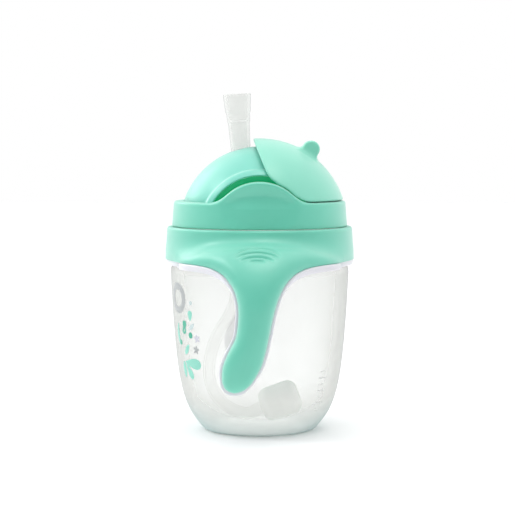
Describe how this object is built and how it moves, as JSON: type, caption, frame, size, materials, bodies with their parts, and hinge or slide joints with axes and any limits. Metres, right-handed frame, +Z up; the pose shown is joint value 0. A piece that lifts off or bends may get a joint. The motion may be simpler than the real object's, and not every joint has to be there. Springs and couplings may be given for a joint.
{
  "type": "sippy cup",
  "caption": "Weighted-straw training cup with side handles, a screw-on domed lid and an arc-sliding cover over a soft folding mouthpiece.",
  "frame": {"origin": "centre of the cup's base, on the surface that it stands on", "axes": "+Z up, the drinking side towards -X, the handles at +Y and -Y"},
  "size_m": [0.0798, 0.122, 0.142],
  "materials": {
    "cup_plastic": "lightly frosted clear polypropylene",
    "white_plastic": "smooth white polypropylene",
    "grip_mint": "satin soft-touch overmould",
    "lid_mint": "satin polypropylene",
    "cover_mint": "satin polypropylene",
    "seal_silicone": "soft silicone",
    "clear_silicone": "translucent silicone",
    "weight_plastic": "milky polypropylene",
    "weight_steel": "plain stainless steel"
  },
  "bodies": {
    "root": {"cup_body": "cup_plastic", "handle_core": "white_plastic", "handle_grip": "grip_mint"},
    "seal": {"rim_seal": "seal_silicone"},
    "lid": {"lid_collar": "lid_mint", "lid_dome": "lid_mint", "vent_valve": "clear_silicone", "mouthpiece_root": "clear_silicone", "straw_holder": "white_plastic"},
    "cover": {"slide_cover": "cover_mint"},
    "spout": {"mouthpiece": "clear_silicone"},
    "straw": {"straw_tube": "clear_silicone", "weight_rear_shell": "weight_plastic", "weight_front_shell": "weight_plastic", "weight_core": "weight_steel", "weight_sleeve": "weight_plastic"}
  },
  "joints": [
    {"name": "lid_lift", "type": "slide", "parent": "root", "child": "seal", "axis": [0, 0, 1], "range_m": [0, 0.00401]},
    {"name": "lid_turn", "type": "hinge", "parent": "seal", "child": "lid", "pos_m": [0, 0, 0.0862], "axis": [0, 0, 1], "range_deg": [0, 180]},
    {"name": "cover_slide", "type": "hinge", "parent": "lid", "child": "cover", "pos_m": [0, 0, 0.0858], "axis": [0, -1, 0], "range_deg": [0, 67.7]},
    {"name": "mouthpiece_fold", "type": "hinge", "parent": "lid", "child": "spout", "pos_m": [-0.0078, 0, 0.1156], "axis": [0, -1, 0], "range_deg": [0, 128.1], "deforming": ["mouthpiece"]},
    {"name": "straw_swing", "type": "hinge", "parent": "lid", "child": "straw", "pos_m": [-0.0078, 0, 0.0901], "axis": [1, 0, 0], "range_deg": [-6, 6]}
  ],
  "couplings": [
    {"joint": "lid_lift", "follows": "lid_turn", "m_per_rad": 0.0012732},
    {"joint": "mouthpiece_fold", "follows": "cover_slide", "ratio": 1.8907}
  ]
}
